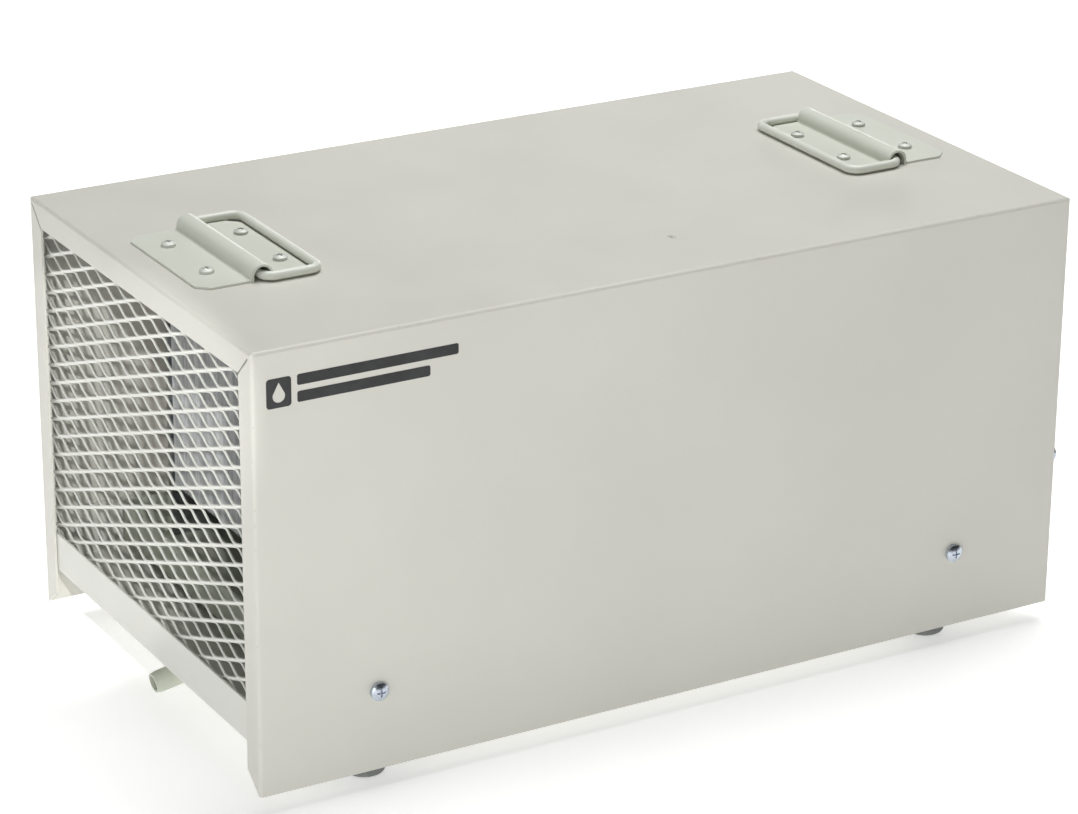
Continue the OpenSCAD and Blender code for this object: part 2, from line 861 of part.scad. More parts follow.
module compressor_mount_plate() {
    plate_z = floor_z + grommet_h - mount_plate_t - 3;
    color(black) in_frame() {
        difference() {
            translate([0, 0, plate_z]) union() {
                translate([comp_x, comp_y, 0]) cylinder(h = mount_plate_t, r = comp_r);
                compressor_mount_places() cylinder(h = mount_plate_t, r = 17);
                for (turn = [-45, 45])
                    translate([comp_x, comp_y, 0]) rotate([0, 0, turn])
                        translate([-comp_mount / sqrt(2), -15, 0])
                            cube([comp_mount * sqrt(2), 30, mount_plate_t]);
            }
            compressor_mount_places() translate([0, 0, plate_z - 1])
                cylinder(h = mount_plate_t + 2, r = grommet_r - 4);
        }
        translate([comp_x, comp_y, plate_z + mount_plate_t]) difference() {
            cylinder(h = comp_z + 8 - plate_z - mount_plate_t, r = comp_r - 12);
            translate([0, 0, comp_z - plate_z - mount_plate_t])
                domed_can(comp_r, comp_h, 20);
        }
    }
}

module compressor_grommets() {
    plate_z = grommet_h - mount_plate_t - 3;
    color(rubber) in_frame() compressor_mount_places() translate([0, 0, floor_z]) difference() {
        union() {
            cylinder(h = plate_z, r = grommet_r);
            cylinder(h = grommet_h, r = grommet_r - 4);
            translate([0, 0, grommet_h - 3]) cylinder(h = 3, r = grommet_r);
        }
        translate([0, 0, -1]) cylinder(h = grommet_h + 2, r = m6_r + hole_gap);
    }
}

module compressor_bolts() {
    color(zinc) in_frame() compressor_mount_places() {
        translate([0, 0, tray_z - 6]) cylinder(h = floor_z + grommet_h - tray_z + 6, r = m6_r);
        translate([0, 0, floor_z + grommet_h]) cylinder(h = 1.5, r = grommet_r - 3);
        translate([0, 0, floor_z + grommet_h + 1.5])
            cylinder(h = 4, r = m6_nut_af / sqrt(3), $fn = 6);
        translate([0, 0, tray_z - 5]) cylinder(h = 5, r = m6_nut_af / sqrt(3), $fn = 6);
    }
}

module compressor_terminal_cover() {
    reach = comp_r + terminal_reach - 30;
    color(black) in_frame() translate([comp_x, comp_y, comp_z + 120]) difference() {
        translate([reach, -21, 0]) folded_box(30, 42, 54, 3);
        translate([reach + 2, -19, 2]) cube([26, 38, 50]);
        translate([0, 0, -10]) cylinder(h = 80, r = comp_r);
    }
}

module accumulator() {
    color(black) in_frame() translate([acc_x, acc_y, acc_z]) domed_can(acc_r, acc_h, 14);
}

module filter_drier() {
    color(copper) in_frame() translate([drier_x, drier_y, drier_z]) rotate([0, 90, 0]) {
        cylinder(h = 12, r1 = pipe_r, r2 = drier_r);
        translate([0, 0, 12]) cylinder(h = drier_l - 24, r = drier_r);
        translate([0, 0, drier_l - 12]) cylinder(h = 12, r1 = drier_r, r2 = cap_r + 2);
    }
}

module capillary_tube() {
    coil_low = drier_z + 12;
    turn_pitch = 2 * cap_r + 0.2;
    coil_top = coil_low + (cap_turns - 1) * turn_pitch;
    coil_front = cap_y - cap_coil_r;
    run_y = 4.2;
    run_z = 92;
    color(copper) in_frame() {
        pipe([[drier_x + drier_l - 1, drier_y, drier_z], [cap_x, drier_y, drier_z],
            [cap_x, drier_y, coil_low], [cap_x, coil_front, coil_low]], cap_r);
        for (i = [0:cap_turns - 1])
            translate([cap_x, cap_y, coil_low + i * turn_pitch]) rotate_extrude()
                translate([cap_coil_r, 0]) circle(cap_r);
        pipe([[cap_x, coil_front, coil_top], [cap_x, run_y, coil_top], [cap_x, run_y, run_z],
            [evap_x + column_in, run_y, run_z], [evap_x + column_in, run_y, evap_top_z],
            [evap_x + column_in, coil_y - 6, evap_top_z]], cap_r);
    }
}

module suction_pipe() {
    from_x = evap_x + coil_d - column_in;
    top = evap_top_z;
    low = acc_z - 20;
    color(copper) in_frame() {
        pipe([[from_x, coil_y + 1, top], [from_x, chase_y, top], [acc_x, chase_y, top],
            [acc_x, acc_y, top], [acc_x, acc_y, acc_z + acc_h - 2]], pipe_r);
        pipe([[acc_x, acc_y, acc_z + 2], [acc_x, acc_y, low], [acc_x - 14, comp_y - 46, low]], pipe_r);
    }
}

module discharge_pipe() {
    high = valve_z;
    low = 80;
    to_x = cond_x + coil_d - column_in;
    color(copper) in_frame() pipe([[comp_x, comp_y, comp_top - 2], [comp_x, comp_y, high],
        [drop_x, drop_y, high], [drop_x, drop_y, low], [drop_x, chase_y, low],
        [to_x, chase_y, low], [to_x, chase_y, row_z], [to_x, coil_y + 1, row_z]], pipe_r);
}

module liquid_pipe() {
    from_x = cond_x + column_in;
    color(copper) in_frame() pipe([[from_x, coil_y + 1, row_z], [from_x, chase_y, row_z],
        [from_x, chase_y, drier_z], [drier_x + 1, drier_y, drier_z]], pipe_r);
}

module hot_gas_pipe() {
    to_x = evap_x + column_in;
    color(copper) in_frame() {
        pipe([[drop_x, drop_y + 3, valve_z], [drop_x, hot_y, valve_z],
            [valve_x + valve_l - 1, hot_y, valve_z]], hot_r);
        pipe([[valve_x + 1, hot_y, valve_z], [to_x, hot_y, valve_z],
            [to_x, coil_y - 8, valve_z], [to_x, coil_y - 8, evap_top_z],
            [to_x, coil_y + 1, evap_top_z]], hot_r);
    }
}

module defrost_valve() {
    color(brass) in_frame() {
        translate([valve_x, hot_y, valve_z]) rotate([0, 90, 0])
            cylinder(h = valve_l, r = valve_r);
        translate([valve_x + valve_l / 2, hot_y, valve_z - stem_l])
            cylinder(h = stem_l, r = stem_r);
    }
}

module defrost_solenoid() {
    color(plastic_dark) in_frame() difference() {
        translate([valve_x + valve_l / 2 - 16, hot_y - 14, valve_z - 44]) folded_box(32, 36, 34, 3);
        translate([valve_x + valve_l / 2, hot_y, valve_z - 50]) cylinder(h = 60, r = stem_r + hole_gap);
    }
}

// ---------- controls and electrics ----------

// Recessed panel: a pan open outwards, with a lip at each side behind the flanges
module control_panel() {
    color(paint_light) in_frame() difference() {
        translate([panel_x, panel_y, panel_z]) cube([panel_recess, panel_w, panel_h]);
        translate([panel_face, panel_y + lip_w, panel_z + sheet_t])
            cube([panel_recess, panel_w - 2 * lip_w, panel_h - 2 * sheet_t]);
        translate([panel_x - 1, panel_y - 1, panel_z - 1])
            cube([panel_recess - sheet_t + 1, lip_w - sheet_t + 1, panel_h + 2]);
        translate([panel_x - 1, panel_y + panel_w - lip_w + sheet_t, panel_z - 1])
            cube([panel_recess - sheet_t + 1, lip_w - sheet_t + 1, panel_h + 2]);
        front_and_rear() translate([lip_x - sheet_t - 1, flange_screw_y, flange_screw_z])
            rotate([0, 90, 0]) cylinder(h = sheet_t + 2, r = m6_r + hole_gap);
        translate([panel_x - 1, switch_y - switch_w / 2 - 2.5, control_z - switch_r - 2.9])
            cube([sheet_t + 2, switch_w + 5, 2 * switch_r + 5.8]);
        translate([panel_x - 1, meter_y - meter_w / 2, control_z - meter_h / 2])
            cube([sheet_t + 2, meter_w, meter_h]);
        translate([panel_x - 1, gland_y, gland_z]) rotate([0, 90, 0])
            cylinder(h = sheet_t + 2, r = gland_r + hole_gap);
    }
}

module control_panel_screws() {
    color(zinc) in_frame() front_and_rear() translate([body_l, flange_screw_y, flange_screw_z])
        rotate([0, 90, 0]) pan_screw(m6_r, 12, m6_head_r, m6_head_h);
}

module control_panel_nuts() {
    color(steel) in_frame() front_and_rear()
        translate([lip_x - sheet_t - m6_nut_h, flange_screw_y, flange_screw_z])
            rotate([0, 90, 0]) hex_nut(m6_nut_af, m6_r + thread_gap, m6_nut_h);
}

module electrical_box() {
    box_l = panel_x - 0.2 - box_x;
    color(steel) in_frame() difference() {
        translate([box_x, box_y, box_z]) cube([box_l, box_w, box_h]);
        translate([box_x + box_t, box_y + box_t, box_z + box_t])
            cube([box_l, box_w - 2 * box_t, box_h - 2 * box_t]);
        translate([box_x - 1, lead_out_y, lead_out_z]) rotate([0, 90, 0])
            cylinder(h = 4, r = 8);
    }
}

module on_switch_axis() {
    translate([pivot_x, switch_y, control_z]) rotate([90, 0, 0]) children();
}

module rocker_housing() {
    cavity_r = switch_r + switch_gap;
    wide = switch_w + 2 * switch_gap;
    tall = 2 * (cavity_r + switch_wall);
    color(plastic_dark) in_frame() difference() {
        union() {
            translate([pivot_x - 18, switch_y - wide / 2 - 2, control_z - tall / 2])
                cube([18 + panel_face - pivot_x, wide + 4, tall]);
            translate([panel_face, switch_y - wide / 2 - 4, control_z - tall / 2 - 2.5])
                cube([switch_bezel, wide + 8, tall + 5]);
        }
        on_switch_axis() translate([0, 0, -wide / 2]) cylinder(h = wide, r = cavity_r);
        translate([pivot_x, switch_y - wide / 2, control_z - cavity_r])
            cube([20, wide, 2 * cavity_r]);
        on_switch_axis() translate([0, 0, -wide / 2 - 3])
            cylinder(h = wide + 6, r = pivot_r + thread_gap);
    }
}

// Section of the rocker about its pivot: a round body with a shallow valley on its
// outer side, tipped to the off position
module rocker_section() {
    rotate(-rocker_tilt) intersection() {
        circle(switch_r);
        polygon([[-6, -20], [-6, 20], [valley + 20 * tan(rocker_tilt), 20], [valley, 0],
            [valley + 20 * tan(rocker_tilt), -20]]);
    }
}

module rocker() {
    color(black) in_frame() on_switch_axis() {
        translate([0, 0, -switch_w / 2]) linear_extrude(switch_w) rocker_section();
        translate([0, 0, -switch_w / 2 - 1.8]) cylinder(h = switch_w + 3.6, r = pivot_r);
    }
}

module hour_meter() {
    color(plastic_dark) in_frame() difference() {
        union() {
            translate([panel_x - 22, meter_y - meter_w / 2 + 0.3, control_z - meter_h / 2 + 0.3])
                cube([24 + sheet_t, meter_w - 0.6, meter_h - 0.6]);
            translate([panel_face, meter_y - meter_w / 2 - 4, control_z - meter_h / 2 - 4])
                folded_box(3, meter_w + 8, meter_h + 8, 1);
        }
        translate([panel_face + 1.8, meter_y - 13, control_z - 6]) cube([3, 26, 12]);
    }
}

module cable_gland() {
    color(black) in_frame() translate([panel_face, gland_y, gland_z]) rotate([0, 90, 0])
        difference() {
            union() {
                translate([0, 0, -14]) cylinder(h = 15, r = gland_r);
                cylinder(h = 6, r = 14, $fn = 6);
                translate([0, 0, 6]) cylinder(h = 8, r = 12);
                translate([0, 0, 14]) cylinder(h = gland_l - 14, r1 = 12, r2 = 8);
            }
            translate([0, 0, -15]) cylinder(h = gland_l + 16, r = gland_bore_r);
        }
}

module cable_gland_nut() {
    color(black) in_frame() translate([panel_x - gland_nut_h, gland_y, gland_z]) rotate([0, 90, 0])
        hex_nut(26, gland_r + thread_gap, gland_nut_h);
}

module control_board() {
    board_x = box_x + 8;
    color(board_green) in_frame() {
        translate([board_x, box_y + 8, box_z + 8]) cube([1.6, 84, 70]);
        for (z = [14, 40])
            translate([board_x + 1.6, box_y + 16, box_z + z]) cube([16, 20, 16]);
        translate([board_x + 1.6, box_y + 46, box_z + 16]) cube([24, 30, 26]);
        translate([board_x + 1.6, box_y + 46, box_z + 52]) cube([10, 36, 9]);
    }
}

module run_capacitor() {
    color(aluminium) in_frame() translate([box_x + 28, box_y + 104, box_z + 26]) {
        rotate([-90, 0, 0]) cylinder(h = 56, r = 20);
        translate([0, -5, 0]) rotate([-90, 0, 0]) cylinder(h = 5, r = 16);
    }
}

module terminal_block() {
    color(plastic_pale) in_frame() translate([box_x + 12, box_y + 104, box_z + box_h - 30])
        difference() {
            cube([18, 54, 16]);
            for (i = [0:4])
                translate([5, 4 + i * 10, 8]) cube([14, 6, 9]);
        }
}

// Bundled leads from the electrical box to the compressor and the fan motor
module wiring_loom() {
    lead_r = 3;
    lead_x = box_x - 16;
    comp_lead_z = 176;
    side_x = 330;
    side_y = 290;
    color(black) in_frame() {
        pipe([[box_x + 6, lead_out_y, lead_out_z], [lead_x, lead_out_y, lead_out_z],
            [lead_x, comp_y, comp_lead_z],
            [comp_x + comp_r + terminal_reach, comp_y, comp_lead_z]], lead_r);
        pipe([[lead_x, lead_out_y, lead_out_z], [lead_x, side_y, lead_out_z],
            [side_x, side_y, lead_out_z], [side_x, fan_y, fan_z],
            [motor_x + motor_l, fan_y, fan_z]], lead_r);
    }
}

// ---------- nodes ----------

cover();
base_tray();
inlet_mesh();
outlet_mesh();
side_screws();
side_nuts();
handle_plate_left();
handle_plate_right();
handle_bail_left();
handle_bail_right();
handle_screws();
handle_nuts();
foot_front_left();
foot_front_right();
foot_rear_left();
foot_rear_right();
foot_bolts();
foot_nuts();
drip_tray();
drain_elbow();
drain_spigot();
evaporator_fins();
evaporator_tubes();
evaporator_end_plates();
condenser_fins();
condenser_tubes();
condenser_end_plates();
fan_shroud();
fan_impeller();
fan_shaft();
fan_motor();
fan_bracket();
compressor_shell();
compressor_core();
compressor_mount_plate();
compressor_grommets();
compressor_bolts();
compressor_terminal_cover();
accumulator();
filter_drier();
capillary_tube();
suction_pipe();
discharge_pipe();
liquid_pipe();
hot_gas_pipe();
defrost_valve();
defrost_solenoid();
control_panel();
control_panel_screws();
control_panel_nuts();
electrical_box();
rocker_housing();
rocker();
hour_meter();
cable_gland();
cable_gland_nut();
control_board();
run_capacitor();
terminal_block();
wiring_loom();
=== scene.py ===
"""Looks for the dehumidifier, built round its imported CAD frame.

Lengths are in metres. Casing coordinates run from the front lower corner of the inlet
end: x along the casing, y to the rear, z up. at() turns them into the frame's own.
"""
import json
import math
import random

import bpy
import bmesh
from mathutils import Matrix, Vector

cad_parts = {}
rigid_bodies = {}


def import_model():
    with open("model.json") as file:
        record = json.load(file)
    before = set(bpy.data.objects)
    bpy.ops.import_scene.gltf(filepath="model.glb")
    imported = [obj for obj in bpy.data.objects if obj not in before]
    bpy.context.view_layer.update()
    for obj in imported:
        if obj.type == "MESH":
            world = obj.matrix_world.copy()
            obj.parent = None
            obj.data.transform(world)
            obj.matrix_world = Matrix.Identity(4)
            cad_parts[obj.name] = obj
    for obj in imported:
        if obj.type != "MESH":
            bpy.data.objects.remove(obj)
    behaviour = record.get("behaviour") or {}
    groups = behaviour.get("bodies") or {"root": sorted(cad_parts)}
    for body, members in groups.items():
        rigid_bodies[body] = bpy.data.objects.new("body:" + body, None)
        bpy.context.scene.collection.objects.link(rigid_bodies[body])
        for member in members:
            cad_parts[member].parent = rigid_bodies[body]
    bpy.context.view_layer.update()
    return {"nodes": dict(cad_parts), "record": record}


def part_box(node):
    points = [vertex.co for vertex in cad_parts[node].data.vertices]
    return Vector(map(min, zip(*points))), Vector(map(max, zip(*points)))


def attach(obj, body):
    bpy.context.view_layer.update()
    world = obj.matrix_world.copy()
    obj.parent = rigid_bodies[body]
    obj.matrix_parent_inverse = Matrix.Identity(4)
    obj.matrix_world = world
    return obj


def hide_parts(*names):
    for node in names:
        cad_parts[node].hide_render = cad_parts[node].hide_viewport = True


for stray in list(bpy.data.objects):
    bpy.data.objects.remove(stray)

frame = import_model()
cad = frame["nodes"]
MM = 0.001

# ---------- where things are ----------

cover_low, cover_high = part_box("cover")
BODY_L = cover_high.x - cover_low.x
BODY_W = cover_high.y - cover_low.y
CASING = Vector((cover_low.x, cover_low.y, cover_low.z))


def at(x, y, z):
    """A point in casing coordinates, in millimetres, as a point in the frame."""
    return CASING + Vector((x, y, z)) * MM


# ---------- small helpers ----------


def linear(r, g, b):
    """An 8-bit screen colour as the linear colour that shaders take."""
    def channel(value):
        value /= 255
        return value / 12.92 if value <= 0.04045 else ((value + 0.055) / 1.055) ** 2.4
    return (channel(r), channel(g), channel(b), 1)


def scaled(colour, factor):
    return tuple(min(1, c * factor) for c in colour[:3]) + (1,)


def link(name, data):
    obj = bpy.data.objects.new(name, data)
    bpy.context.scene.collection.objects.link(obj)
    return obj


def new_object(name, mesh, body="casing", material=None):
    """A visible piece that rides a body."""
    obj = link(name, mesh)
    if material:
        mesh.materials.append(material)
    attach(obj, body)
    return obj


def mesh_from(name, vertices, faces, smooth=True):
    mesh = bpy.data.meshes.new(name)
    mesh.from_pydata([tuple(v) for v in vertices], [], faces)
    mesh.validate()
    for polygon in mesh.polygons:
        polygon.use_smooth = smooth
    mesh.update()
    return mesh


def mark_sharp(mesh, angle=35):
    """Marks the edges that meet at more than this angle as sharp."""
    work = bmesh.new()
    work.from_mesh(mesh)
    work.normal_update()
    for edge in work.edges:
        if len(edge.link_faces) == 2:
            edge.smooth = edge.calc_face_angle(0) < math.radians(angle)
    work.to_mesh(mesh)
    work.free()
    return mesh


def mesh_of(work, name, sharp_angle):
    """Turns a bmesh of closed shapes into a smooth mesh with its sharp edges marked."""
    bmesh.ops.recalc_face_normals(work, faces=work.faces)
    mesh = bpy.data.meshes.new(name)
    work.to_mesh(mesh)
    work.free()
    for polygon in mesh.polygons:
        polygon.use_smooth = True
    return mark_sharp(mesh, sharp_angle)


# ---------- materials ----------


class Shader:
    """A material's node tree, with short ways to add and join nodes."""

    def __init__(self, name, **settings):
        self.material = bpy.data.materials.new(name)
        self.material.use_nodes = True
        self.tree = self.material.node_tree
        self.bsdf = self.tree.nodes["Principled BSDF"]
        for key, value in settings.items():
            self.bsdf.inputs[key.replace("_", " ")].default_value = value
        self.coords = self.add("ShaderNodeTexCoord").outputs["Object"]

    def add(self, kind, inputs=None, **attributes):
        node = self.tree.nodes.new(kind)
        for key, value in attributes.items():
            setattr(node, key, value)
        for key, value in (inputs or {}).items():
            if isinstance(value, bpy.types.NodeSocket):
                self.tree.links.new(value, node.inputs[key])
            else:
                node.inputs[key].default_value = value
        return node

    def noise(self, scale, detail=2.0, roughness=0.5, coords=None):
        inputs = {"Vector": coords or self.coords, "Scale": scale, "Detail": detail}
        inputs["Roughness"] = roughness
        return self.add("ShaderNodeTexNoise", inputs).outputs["Fac"]

    def ramp(self, value, stops):
        node = self.add("ShaderNodeValToRGB", {"Fac": value})
        while len(node.color_ramp.elements) < len(stops):
            node.color_ramp.elements.new(0.5)
        for element, (position, colour) in zip(node.color_ramp.elements, stops):
            element.position = position
            element.color = colour
        return node.outputs["Color"]

    def spread(self, value, low, high, from_low=0.3, from_high=0.7):
        inputs = {"Value": value, "From Min": from_low, "From Max": from_high}
        inputs.update({"To Min": low, "To Max": high})
        return self.add("ShaderNodeMapRange", inputs).outputs["Result"]

    def math(self, operation, a, b=0.0):
        node = self.add("ShaderNodeMath", {0: a, 1: b}, operation=operation)
        return node.outputs[0]

    def mix(self, factor, a, b, blend="MIX"):
        node = self.add("ShaderNodeMix", data_type="RGBA", blend_type=blend)
        for socket, value in ((node.inputs[0], factor), (node.inputs[6], a), (node.inputs[7], b)):
            if isinstance(value, bpy.types.NodeSocket):
                self.tree.links.new(value, socket)
            else:
                socket.default_value = value
        return node.outputs[2]

    def axes(self):
        return self.add("ShaderNodeSeparateXYZ", {0: self.coords}).outputs

    def stretched(self, x, y, z):
        inputs = {"Vector": self.coords, "Scale": (x, y, z)}
        return self.add("ShaderNodeMapping", inputs).outputs["Vector"]

    def set(self, name, value):
        self.tree.links.new(value, self.bsdf.inputs[name])

    def bump(self, height, strength, distance, below=None):
        inputs = {"Height": height, "Strength": strength, "Distance": distance}
        if below:
            inputs["Normal"] = below
        result = self.add("ShaderNodeBump", inputs).outputs["Normal"]
        self.set("Normal", result)
        return result


def powder_coat(name, base, roughness=0.42, peel=0.5, grime=0.05):
    """Powder coat: even colour with faint clouding, orange peel and tiny specks."""
    s = Shader(name, Specular_IOR_Level=0.45)
    cloud = s.ramp(s.noise(7, 4), [(0.3, scaled(base, 0.965)), (0.7, scaled(base, 1.02))])
    speck = s.spread(s.noise(2600, 1), 0, grime, 0.62, 0.8)
    colour = s.mix(speck, cloud, scaled(base, 0.55))
    s.set("Base Color", colour)
    s.set("Roughness", s.spread(s.noise(22, 3), roughness - 0.05, roughness + 0.07))
    sheet = s.bump(s.noise(9, 2), 0.12, 0.002)
    s.bump(s.noise(950, 2), peel, 0.00006, sheet)
    return s


def fold_scuffs(s):
    """How worn the paint is along the cover's folds, from 0 to 0.35."""
    x, y, z = s.axes()
    centre = (cover_low + cover_high) / 2
    from_mid_x = s.math("ABSOLUTE", s.math("SUBTRACT", x, centre.x))
    from_mid_y = s.math("ABSOLUTE", s.math("SUBTRACT", y, centre.y))
    to_end = s.math("SUBTRACT", BODY_L / 2, from_mid_x)
    to_side = s.math("SUBTRACT", BODY_W / 2, from_mid_y)
    to_top = s.math("SUBTRACT", cover_high.z, z)
    near = s.math("MINIMUM", to_end, to_side)
    far = s.math("MAXIMUM", to_end, to_side)
    from_fold = s.math("MAXIMUM", near, s.math("MINIMUM", far, to_top))
    at_fold = s.spread(from_fold, 1, 0, 0.0006, 0.0022)
    scuff = s.spread(s.noise(160, 4, 0.65), 0, 1, 0.6, 0.66)
    return s.math("MULTIPLY", s.math("MULTIPLY", at_fold, scuff), 0.35)


def ragged_chip(s, centre):
    """How much paint is lost round a small chip, from 0 to 0.75."""
    inputs = {0: s.coords, 1: tuple(centre)}
    offset = s.add("ShaderNodeVectorMath", inputs, operation="SUBTRACT")
    inputs = {0: offset.outputs[0], 1: (1.5, 0.85, 1)}
    squashed = s.add("ShaderNodeVectorMath", inputs, operation="MULTIPLY")
    inputs = {0: squashed.outputs[0]}
    reach = s.add("ShaderNodeVectorMath", inputs, operation="LENGTH").outputs["Value"]
    ragged = s.math("ADD", reach, s.spread(s.noise(420, 3), -0.0016, 0.0016))
    return s.spread(ragged, 0.75, 0, 0.0018, 0.0036)


def cover_paint():
    """The cover's paint, with scuffs along its folds and one small chip on top."""
    s = powder_coat("cover_paint", linear(214, 213, 204))
    painted = s.bsdf.inputs["Base Color"].links[0].from_socket
    colour = s.mix(fold_scuffs(s), painted, linear(170, 170, 163))
    chip = ragged_chip(s, at(336, 62, 300))
    s.set("Base Color", s.mix(chip, colour, linear(138, 137, 130)))
    return s.material


def metal(name, base, roughness, streak=(1, 1, 1), scale=120, blotch=0.08, metallic=1.0):
    """Bare or plated metal: blotched tone, brushed or drawn streaks in its gloss."""
    s = Shader(name, Metallic=metallic)
    tones = [(0.3, scaled(base, 1 - blotch)), (0.7, scaled(base, 1 + blotch / 2))]
    s.set("Base Color", s.ramp(s.noise(60, 4), tones))
    lines = s.noise(scale, 4, 0.6, s.stretched(*streak))
    s.set("Roughness", s.spread(lines, roughness - 0.06, roughness + 0.1))
    s.bump(lines, 0.15, 0.0001)
    return s.material


def moulded(name, base, roughness=0.5, grain=0.35, scale=1500):
    """Moulded plastic or rubber with a fine even grain."""
    s = Shader(name)
    s.set("Base Color", s.ramp(s.noise(30, 3), [(0.3, scaled(base, 0.92)), (0.7, scaled(base, 1.06))]))
    s.set("Roughness", s.spread(s.noise(90, 3), roughness - 0.06, roughness + 0.08))
    s.bump(s.noise(scale, 2), grain, 0.00005)
    return s.material


def foot_rubber():
    """Dark rubber with a dusty bloom that is stronger near the floor."""
    base = linear(112, 116, 113)
    s = Shader("foot_rubber", Specular_IOR_Level=0.3)
    height = s.axes()[2]
    dusty = s.spread(height, 0.6, 0.1, 0.0, 0.016)
    dust = s.math("MULTIPLY", dusty, s.spread(s.noise(260, 4, 0.6), 0.2, 1))
    s.set("Base Color", s.mix(dust, base, linear(150, 152, 148)))
    s.set("Roughness", s.spread(s.noise(120, 3), 0.62, 0.78))
    s.bump(s.noise(900, 3), 0.4, 0.0001)
    return s.material


def galvanised():
    """Galvanised sheet with its spangle."""
    s = Shader("galvanised_sheet", Metallic=1.0)
    inputs = {"Vector": s.coords, "Scale": 130}
    cells = s.add("ShaderNodeTexVoronoi", inputs).outputs["Color"]
    tone = s.add("ShaderNodeSeparateColor", {0: cells}).outputs[0]
    s.set("Base Color", s.ramp(tone, [(0.0, linear(150, 154, 158)), (1.0, linear(186, 190, 194))]))
    s.set("Roughness", s.spread(tone, 0.36, 0.52, 0, 1))
    s.bump(s.noise(500, 2), 0.1, 0.00005)
    return s.material


def fin_aluminium():
    """Thin fin stock: bright, with its tone changing from fin to fin."""
    s = Shader("fin_aluminium", Metallic=0.12)
    along = s.noise(1, 2, 0.6, s.stretched(12, 420, 9))
    s.set("Base Color", s.ramp(along, [(0.3, linear(208, 210, 211)), (0.7, linear(252, 253, 253))]))
    s.set("Roughness", s.spread(s.noise(220, 3), 0.3, 0.46))
    s.bump(s.noise(900, 2), 0.15, 0.00005)
    return s.material


def circuit_board():
    """Green solder resist over faint tracks."""
    s = Shader("circuit_board", Roughness=0.3)
    inputs = {"Vector": s.coords, "Scale": 260}
    inputs.update({"Color1": linear(18, 82, 44), "Color2": linear(22, 98, 54)})
    tracks = s.add("ShaderNodeTexChecker", inputs).outputs["Color"]
    s.set("Base Color", s.mix(s.spread(s.noise(90, 3), 0, 0.4), tracks, linear(14, 66, 36)))
    s.bump(s.noise(1200, 2), 0.1, 0.00005)
    return s.material


def mark_ink():
    """Screen-printed ink with a slightly uneven edge to its gloss and tiny pinholes."""
    s = Shader("mark_ink")
    pinhole = s.spread(s.noise(1900, 1), 0, 0.5, 0.66, 0.8)
    tone = s.ramp(s.noise(45, 3), [(0.3, linear(30, 31, 32)), (0.7, linear(44, 45, 46))])
    s.set("Base Color", s.mix(pinhole, tone, linear(120, 120, 115)))
    s.set("Roughness", s.spread(s.noise(160, 3), 0.42, 0.6))
    s.bump(s.noise(950, 2), 0.3, 0.00005)
    return s.material


def meter_glass():
    """Clear acrylic with faint moulding ripple."""
    s = Shader("meter_glass", IOR=1.49, Transmission_Weight=1.0)
    s.set("Roughness", s.spread(s.noise(300, 2), 0.02, 0.08))
    tints = [(0.3, (0.93, 0.95, 0.95, 1)), (0.7, (0.98, 0.99, 0.99, 1))]
    s.set("Base Color", s.ramp(s.noise(80, 2), tints))
    s.bump(s.noise(240, 2), 0.05, 0.0001)
    return s.material


materials = {
    "cover_paint": cover_paint(),
    "tray_paint": powder_coat("tray_paint", linear(219, 219, 212)).material,
    "mesh_paint": powder_coat("mesh_paint", linear(222, 223, 216), 0.38, 0.35).material,
    "handle_paint": powder_coat("handle_paint", linear(216, 219, 207), 0.38, 0.25).material,
    "zinc_plate": metal("zinc_plate", linear(196, 203, 214), 0.24, scale=400, blotch=0.12),
    "foot_rubber": foot_rubber(),
    "drain_plastic": moulded("drain_plastic", linear(198, 203, 188), 0.42, 0.2),
    "fin_aluminium": fin_aluminium(),
    "copper_tube": metal("copper_tube", linear(196, 128, 92), 0.3, blotch=0.2),
    "galvanised_sheet": galvanised(),
    "fan_plastic": moulded("fan_plastic", linear(44, 45, 47), 0.48),
    "machined_steel": metal("machined_steel", linear(172, 174, 178), 0.28, (1, 30, 30), 60),
    "black_enamel": powder_coat("black_enamel", linear(30, 30, 32), 0.3, 0.6).material,
    "black_plastic": moulded("black_plastic", linear(34, 34, 36), 0.46),
    "rocker_plastic": moulded("rocker_plastic", linear(26, 26, 28), 0.28, 0.12),
    "valve_brass": metal("valve_brass", linear(204, 176, 108), 0.26, (30, 1, 1), 60),
    "circuit_board": circuit_board(),
    "capacitor_can": metal("capacitor_can", linear(196, 198, 202), 0.32, (1, 20, 1), 60),
    "terminal_plastic": moulded("terminal_plastic", linear(214, 212, 200), 0.45),
    "lead_insulation": moulded("lead_insulation", linear(24, 24, 26), 0.42, 0.15),
    "painted_screw": metal("painted_screw", linear(212, 214, 207), 0.44, scale=700, blotch=0.1,
                           metallic=0.15),
    # A lighter, glossier copy of the handle paint for the bails: painted light standing in for the
    # light the round rods catch
    "bail_paint_painted_light": powder_coat("bail_paint_painted_light", linear(229, 232, 221), 0.3, 0.2).material,
    "mark_ink": mark_ink(),
    "meter_glass": meter_glass(),
}

OWN_FINISH = {
    "handle_screws": "painted_screw",
    # The bails take the lighter copy of the handle paint, which is a painted highlight
    "handle_bail_left": "bail_paint_painted_light",
    "handle_bail_right": "bail_paint_painted_light",
}

for part in frame["record"]["subparts"]:
    piece = cad[part["node"]]
    piece.data.materials.clear()
    finish = OWN_FINISH.get(part["node"], part["material_slot"])
    piece.data.materials.append(materials[finish])


# ---------- expanded metal ----------

